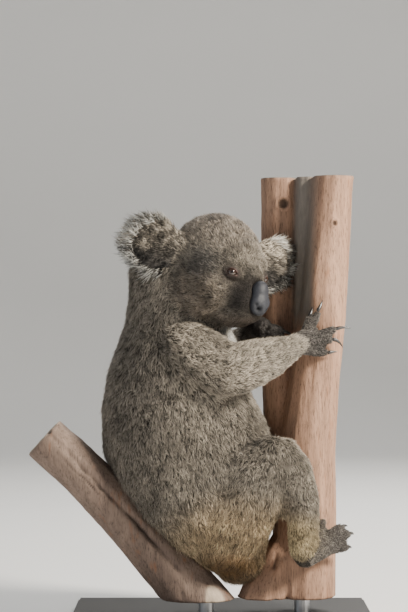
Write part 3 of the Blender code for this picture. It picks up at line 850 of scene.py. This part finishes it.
def nose_finish():
    """Slate leather with a fine pebbled grain."""
    made = Shader("nose_leather", Roughness=0.5, Specular_IOR_Level=0.35)
    place = made.place()
    tone = made.mix(made.noise(place, 0.006, 4), (0.014, 0.015, 0.018), (0.050, 0.053, 0.064))
    spots = made.ramp(made.noise(place, 0.0014, 3), (0.35, 0.75), (0.65, 1.2))
    made.link(made.mix(1.0, made.mix(1.0, tone, spots, "MULTIPLY"), made.attribute("shade"),
                       "MULTIPLY"), "Base Color")
    made.link(made.ramp(made.attribute("shade"), (0.2, 0.95), (0.9, 0.52)), "Roughness")
    grain = made.add("TexVoronoi", {"Vector": place, "Scale": 900.0}).outputs["Distance"]
    made.link(made.bump(grain, 0.0003, 0.7), "Normal")
    return made.material


def make_nose():
    """The nose pad with its two nostrils and their slots."""
    mesh = evened(gathered(["nose"], 0.3 * MM), NOSE_VOXEL * MM)
    edges = edges_of(mesh)
    local = in_head(averaged(points_of(mesh), edges, 26, 0.6))
    shade = np.ones(len(local))
    put_points(mesh, out_of_head(local))
    normals = points_of(mesh, "normal")
    points = points_of(mesh)
    for side in (-1, 1):
        hole = out_of_head([(92, side * 8, -49)])[0]
        wing = out_of_head([(90, side * 13, -43)])[0]
        reach = np.linalg.norm(points - hole, axis=1) / MM
        pit = np.exp(-((reach / 4.0) ** 2))
        points -= normals * (pit * 6 * MM)[:, None]
        slot = np.exp(-((np.linalg.norm(points - wing, axis=1) / MM / 3.0) ** 2))
        points -= normals * (slot * 2.0 * MM)[:, None]
        shade *= 1 - 0.85 * np.maximum(pit, 0.6 * slot)
    put_points(mesh, points)
    write_colours(mesh, "shade", np.repeat(shade[:, None], 3, axis=1))
    shade_smooth(mesh)
    add_piece("nose_pad", mesh, nose_finish(), ("nose",))


def claw_finish():
    """Black horn with a soft shine."""
    made = Shader("claw_horn", Roughness=0.28, Specular_IOR_Level=0.6)
    place = made.place()
    tone = made.mix(made.noise(place, 0.002, 3), (0.012, 0.011, 0.011), (0.05, 0.045, 0.042))
    made.link(tone, "Base Color")
    made.link(made.bump(made.noise(place, 0.0007, 2), 0.0002, 0.5), "Normal")
    return made.material


def make_claws():
    """A smooth horn in the place of each claw."""
    finish = claw_finish()
    for name in sorted(n for n in NODES if n.startswith("claw_")):
        mesh = merged_copy(name)
        mesh.name = name.replace("claw", "horn")
        shade_smooth(mesh)
        piece = add_piece(mesh.name, mesh, finish, (name,))
        smooth = piece.modifiers.new("smooth", "SUBSURF")
        smooth.levels = smooth.render_levels = 2


def bark_finish(name, low, high, grey):
    """Bark between two colours with flecks, streaks and rust; grey is its bare wood."""
    made = Shader(name, Roughness=0.78, Specular_IOR_Level=0.3)
    place = made.place((1, 1, 0.22))
    tone = made.mix(made.noise(place, 0.03, 5, 0.6), low, high)
    fleck = made.ramp(made.noise(made.place((1, 1, 0.14)), 0.0019, 4, 0.7), (0.32, 0.42), (0.50, 1.0))
    streak = made.ramp(made.noise(made.place((1, 1, 0.08)), 0.012, 3, 0.6), (0.32, 0.72), (0.68, 1.12))
    tone = made.mix(1.0, made.mix(1.0, tone, fleck, "MULTIPLY"), streak, "MULTIPLY")
    rust = made.ramp(made.noise(place, 0.011, 3), (0.60, 0), (0.74, 0.55))
    tone = made.mix(rust, tone, (0.26, 0.11, 0.05))
    dead = made.mix(made.noise(place, 0.004, 4), tuple(part * 0.5 for part in grey), grey)
    tone = made.mix(made.attribute("dead", "Fac"), tone, dead)
    # Painted shade: cracks and knot hollows go near-black.
    tone = made.mix(made.attribute("hollow_shade", "Fac"), tone, (0.03, 0.02, 0.015))
    made.link(tone, "Base Color")
    rough = made.bump(made.noise(made.place((1, 1, 0.15)), 0.004, 5, 0.65), 0.0016, 0.7)
    made.link(rough, "Normal")
    return made.material


def weathered(name, voxel, cracks, knots, wood):
    """The node's wood with bumps, cracks and knots, the cracks and knot hollows marked for painted shade;
    wood says where bark is gone.
    """
    mesh = evened(gathered([name], 0), voxel)
    edges = edges_of(mesh)
    points = points_of(mesh)
    low, high = points.min(0), points.max(0)
    calm = np.where((points[:, 2] > high[2] - 0.004) | (points[:, 2] < low[2] + 0.004), 0.0, 0.5)
    points = averaged(points, edges, 6, calm)
    put_points(mesh, points)
    normals = points_of(mesh, "normal")
    stretched = points * (1, 1, 0.3)
    swell = 2.2 * (blotches(stretched, 0.024, 21) - 0.5) + 0.9 * (blotches(stretched, 0.007, 22) - 0.5)
    points = points + normals * (swell * MM * (calm > 0))[:, None]
    hollow_shade = np.zeros(len(points))
    for route, wide, deep in cracks:
        wobble = 3 * MM * (blotches(points, 0.012, 23)[:, None] - 0.5)
        path = [(x * MM, y * MM, z * MM, s) for x, y, z, s in route]
        moved, found = grooved(points + wobble, normals, path, wide * MM, deep * MM)
        points = moved - wobble
        hollow_shade = np.maximum(hollow_shade, found)
    knot = np.zeros(len(points))
    for place, size in knots:
        reach = np.linalg.norm((points / MM - place) / size, axis=1)
        knot = np.maximum(knot, smooth_step(1.1, 0.6, reach))
        points = points + normals * (1.8 * MM * np.exp(-(((reach - 1.15) / 0.35) ** 2)))[:, None]
        points = points - normals * (3 * MM * smooth_step(0.9, 0.3, reach))[:, None]
    put_points(mesh, points)
    write_numbers(mesh, "hollow_shade", np.clip(smooth_step(0.25, 0.8, hollow_shade) + 0.8 * knot, 0, 1))
    write_numbers(mesh, "dead", wood(points / MM))
    shade_smooth(mesh)
    return mesh


TRUNK_CRACKS = (
    (((131, -30, 310, 0), (132, -34, 270, 1), (128, -38, 225, 0)), 2.2, 4),
    (((90, 30, 560, 0.6), (98, 22, 500, 1), (100, 18, 430, 1), (104, 10, 392, 0.3)), 2.6, 4),
    (((74, -20, 100, 0.4), (72, -24, 60, 1), (72, -24, 30, 1)), 3.0, 8),
)
TRUNK_KNOTS = (
    ((88, 52, 590), (9, 14, 8)),
    ((84, 36, 462), (4, 8, 4)),
    ((92, 30, 474), (3, 8, 4)),
    ((158, -4, 560), (4, 10, 5)),
)
BRANCH_CRACKS = (
    (((-262, -50, 292, 0.8), (-190, -52, 218, 1), (-120, -54, 146, 1), (-60, -54, 80, 0.8)), 3.0, 6),
    (((-250, -56, 262, 0), (-180, -56, 196, 0.8), (-140, -58, 150, 0)), 1.8, 3),
)
BRANCH_KNOTS = (((-176, -56, 226), (5, 9, 4)),)


DEAD_WOOD, RAW_WOOD = (0.30, 0.26, 0.22), (0.62, 0.50, 0.38)


def dead_wedge(points):
    """1 where the grey dead wood shows between the trunk's stems."""
    inner = 100 + 0.02 * (points[:, 2] - 400)
    strip = smooth_step(inner - 4, inner + 4, points[:, 0])
    strip = strip * smooth_step(128 + 0.06 * (points[:, 2] - 400), 120, points[:, 0])
    top = smooth_step(626.5, 627.5, points[:, 2])
    return np.clip(strip * smooth_step(400, 440, points[:, 2]) + top, 0, 1)


def broken_end(points):
    """1 at the branch's cut and broken places, where pale wood shows."""
    run = points @ np.array((0.73, 0, -0.68)) / 0.9977
    cut = smooth_step(run.min() + 3, run.min() + 1, run)
    torn = smooth_step(1.15, 0.8, np.linalg.norm((points - (-8, -52, 40)) / (16, 14, 26), axis=1))
    return np.clip(cut + torn, 0, 1)


def make_perch(settings):
    """The trunk and the branch, each in its own bark."""
    voxel = settings.voxel
    trunk = weathered("perch_trunk", voxel, TRUNK_CRACKS, TRUNK_KNOTS, dead_wedge)
    bark = bark_finish("gum_bark", tuple(settings.trunk_dark), tuple(settings.trunk_pale), DEAD_WOOD)
    add_piece("trunk_wood", trunk, bark, ("perch_trunk",))
    branch = weathered("perch_branch", voxel, BRANCH_CRACKS, BRANCH_KNOTS, broken_end)
    bark = bark_finish("branch_bark", tuple(settings.branch_dark), tuple(settings.branch_pale), RAW_WOOD)
    add_piece("branch_wood", branch, bark, ("perch_branch",))


def finish_stand():
    """Black painted board and brushed steel for the stand's own solids."""
    board = Shader("black_board", Roughness=0.5, Specular_IOR_Level=0.4)
    grain = board.noise(board.place((1, 8, 8)), 0.02, 4)
    board.link(board.mix(grain, (0.014, 0.014, 0.015), (0.032, 0.031, 0.03)), "Base Color")
    board.link(board.bump(grain, 0.0003, 0.4), "Normal")
    steel = Shader("brushed_rod", Metallic=1.0, Roughness=0.32)
    lines = steel.noise(steel.place((1, 1, 14)), 0.004, 3)
    steel.link(steel.mix(lines, (0.42, 0.42, 0.43), (0.66, 0.66, 0.67)), "Base Color")
    for name, made in (("stand_base", board), ("stand_rod_1", steel), ("stand_rod_2", steel)):
        NODES[name].data.materials.clear()
        NODES[name].data.materials.append(made.material)


def make_stage(power, warmth):
    """The floor with its curved back, three soft lights and the camera."""
    path = [(-4.0, 0.0)] + [(3.2 + 1.4 * math.sin(a), 1.4 - 1.4 * math.cos(a)) for a in
                            np.linspace(0, math.pi / 2, 16)] + [(4.6, 5.0)]
    points = np.array([(x, y, z) for y, z in path for x in (-6.0, 6.0)])
    strips = np.array([(i, i + 1, i + 3, i + 2) for i in range(0, len(points) - 2, 2)])
    floor = bpy.data.objects.new("floor", mesh_of("floor", points, strips))
    shade_smooth(floor.data)
    paper = Shader("pale_paper", Roughness=0.9)
    paper.link(paper.mix(paper.noise(paper.place(), 0.4, 2), (0.80, 0.80, 0.79), (0.84, 0.84, 0.83)),
               "Base Color")
    floor.data.materials.append(paper.material)
    bpy.context.scene.collection.objects.link(floor)
    for name, spot, size, share, colour in (
        ("key", (2.0, -1.25, 1.8), 0.6, 1.25, (1.0, 0.93, 0.82)),
        ("fill", (-2.2, -2.0, 1.1), 2.4, 0.12, (0.86, 0.92, 1.0)),
        ("back", (0.9, 1.7, 2.2), 1.4, 0.5, (1.0, 0.97, 0.92)),
    ):
        lamp = bpy.data.lights.new(name, "AREA")
        lamp.size, lamp.energy = size, power * share
        lamp.color = [1 + warmth * (c - 1) for c in colour]
        held = bpy.data.objects.new(name, lamp)
        held.location = spot
        aim = Vector((0, 0, 0.35)) - held.location
        held.rotation_euler = aim.to_track_quat("-Z", "Y").to_euler()
        bpy.context.scene.collection.objects.link(held)
    world = bpy.context.scene.world or bpy.data.worlds.new("studio")
    bpy.context.scene.world = world
    world.use_nodes = True
    world.node_tree.nodes["Background"].inputs[0].default_value = (0.80, 0.84, 0.90, 1)
    world.node_tree.nodes["Background"].inputs[1].default_value = 0.24
    eye = bpy.data.cameras.new("camera")
    eye.lens, eye.sensor_width, eye.sensor_fit = 120, 36, "AUTO"
    camera = bpy.data.objects.new("camera", eye)
    camera.location = (-0.0252, -2.860, 0.4438)
    camera.rotation_euler = (math.radians(90), 0, 0)
    bpy.context.scene.collection.objects.link(camera)
    bpy.context.scene.camera = camera


def colour_setting(name, description, default):
    """A colour that a user can change."""
    return bpy.props.FloatVectorProperty(
        name=name, description=description, default=default, min=0, max=1, subtype="COLOR")


class KoalaCoatSettings(bpy.types.PropertyGroup):
    """The skin's fineness and the coat's thickness, lie and main colour."""

    tips: colour_setting("Tips", "Colour of the coat's tips where it has no marking", BODY_TIP)
    roots: colour_setting("Roots", "Colour of the coat's roots where it has no marking", BODY_ROOT)

    voxel: bpy.props.FloatProperty(
        name="Skin grain", description="Size of the skin's squares", default=0.0029, min=0.0015,
        max=0.006, subtype="DISTANCE", unit="LENGTH")
    tufts: bpy.props.IntProperty(
        name="Tufts", description="How many tufts the whole coat has", default=240000, min=1000)
    clump: bpy.props.FloatProperty(
        name="Clumping", description="How far the tips draw together", default=0.75, min=0, max=2)
    lift: bpy.props.FloatProperty(
        name="Lift", description="How far the tufts stand off the skin, in degrees", default=17,
        min=0, max=60)


class KoalaPerchSettings(bpy.types.PropertyGroup):
    """How finely the wood is made, and the colours of its bark."""

    trunk_dark: colour_setting("Trunk, dark", "The trunk's darker bark", (0.33, 0.185, 0.12))
    trunk_pale: colour_setting("Trunk, pale", "The trunk's paler bark", (0.54, 0.335, 0.225))
    branch_dark: colour_setting("Branch, dark", "The branch's darker bark", (0.13, 0.088, 0.07))
    branch_pale: colour_setting("Branch, pale", "The branch's paler bark", (0.31, 0.225, 0.175))

    voxel: bpy.props.FloatProperty(
        name="Bark grain", description="Size of the wood's squares", default=0.0023, min=0.0015,
        max=0.006, subtype="DISTANCE", unit="LENGTH")


class KoalaStageSettings(bpy.types.PropertyGroup):
    """The studio's light."""

    power: bpy.props.FloatProperty(
        name="Key light", description="Power of the main light", default=150, min=0, subtype="POWER",
        unit="POWER")
    warmth: bpy.props.FloatProperty(
        name="Warmth", description="How strongly the lights are tinted", default=1.0, min=0, max=2)


class KOALA_OT_skin(bpy.types.Operator):
    """Make the one skin that stands for every part of the flesh"""

    bl_idname = "koala.skin"
    bl_label = "Skin"

    def execute(self, context):
        mesh = make_skin(context.scene.koala_coat.voxel)
        skin = add_piece("skin", mesh, skin_finish(), FLESH)
        unwrap_skin(skin)
        points = points_of(mesh)
        crease = np.empty(len(points), np.float32)
        mesh.attributes["crease"].data.foreach_get("value", crease)
        write_colours(mesh, "tint", skin_tints(points, part_fields(points)[0], crease))
        return {"FINISHED"}


class KOALA_OT_coat(bpy.types.Operator):
    """Grow the coat's tufts over the skin"""

    bl_idname = "koala.coat"
    bl_label = "Coat"

    def execute(self, context):
        settings = context.scene.koala_coat
        make_coat(bpy.data.objects["skin"], settings.tufts, settings.clump, settings.lift)
        return {"FINISHED"}


class KOALA_OT_face(bpy.types.Operator):
    """Make both eyes and the nose pad"""

    bl_idname = "koala.face"
    bl_label = "Eyes and Nose"

    def execute(self, context):
        make_eyes()
        make_nose()
        return {"FINISHED"}


class KOALA_OT_claws(bpy.types.Operator):
    """Make the claws of the hands and feet"""

    bl_idname = "koala.claws"
    bl_label = "Claws"

    def execute(self, context):
        make_claws()
        return {"FINISHED"}


class KOALA_OT_perch(bpy.types.Operator):
    """Make the trunk and the branch with their bark"""

    bl_idname = "koala.perch"
    bl_label = "Perch"

    def execute(self, context):
        make_perch(context.scene.koala_perch)
        return {"FINISHED"}


class KOALA_OT_stand(bpy.types.Operator):
    """Finish the display stand's board and rods"""

    bl_idname = "koala.stand"
    bl_label = "Stand"

    def execute(self, context):
        finish_stand()
        return {"FINISHED"}


class KOALA_OT_stage(bpy.types.Operator):
    """Set the floor, the lights and the camera"""

    bl_idname = "koala.stage"
    bl_label = "Stage"

    def execute(self, context):
        settings = context.scene.koala_stage
        make_stage(settings.power, settings.warmth)
        return {"FINISHED"}


OPERATORS = (
    KOALA_OT_skin,
    KOALA_OT_coat,
    KOALA_OT_face,
    KOALA_OT_claws,
    KOALA_OT_perch,
    KOALA_OT_stand,
    KOALA_OT_stage,
)
SETTINGS = {
    "koala_coat": KoalaCoatSettings,
    "koala_perch": KoalaPerchSettings,
    "koala_stage": KoalaStageSettings,
}


class KOALA_PT_panel(bpy.types.Panel):
    """The koala's sizes and the buttons that make it"""

    bl_idname = "KOALA_PT_panel"
    bl_label = "Koala"
    bl_space_type = "VIEW_3D"
    bl_region_type = "UI"
    bl_category = "Koala"

    def draw(self, context):
        for name, group in SETTINGS.items():
            held = getattr(context.scene, name)
            for key in group.__annotations__:
                self.layout.prop(held, key)
        for operator in OPERATORS:
            self.layout.operator(operator.bl_idname)


CLASSES = (*SETTINGS.values(), *OPERATORS, KOALA_PT_panel)


def register():
    """Registers the settings, operators and panel."""
    for found in CLASSES:
        bpy.utils.register_class(found)
    for name, group in SETTINGS.items():
        setattr(bpy.types.Scene, name, bpy.props.PointerProperty(type=group))


def unregister():
    """Takes the settings, operators and panel away again."""
    for name in SETTINGS:
        delattr(bpy.types.Scene, name)
    for found in reversed(CLASSES):
        bpy.utils.unregister_class(found)


def main():
    """Makes the whole model in order."""
    register()
    bpy.ops.koala.skin()
    bpy.ops.koala.coat()
    bpy.ops.koala.face()
    bpy.ops.koala.claws()
    bpy.ops.koala.perch()
    bpy.ops.koala.stand()
    bpy.ops.koala.stage()


if __name__ == "__main__":
    main()
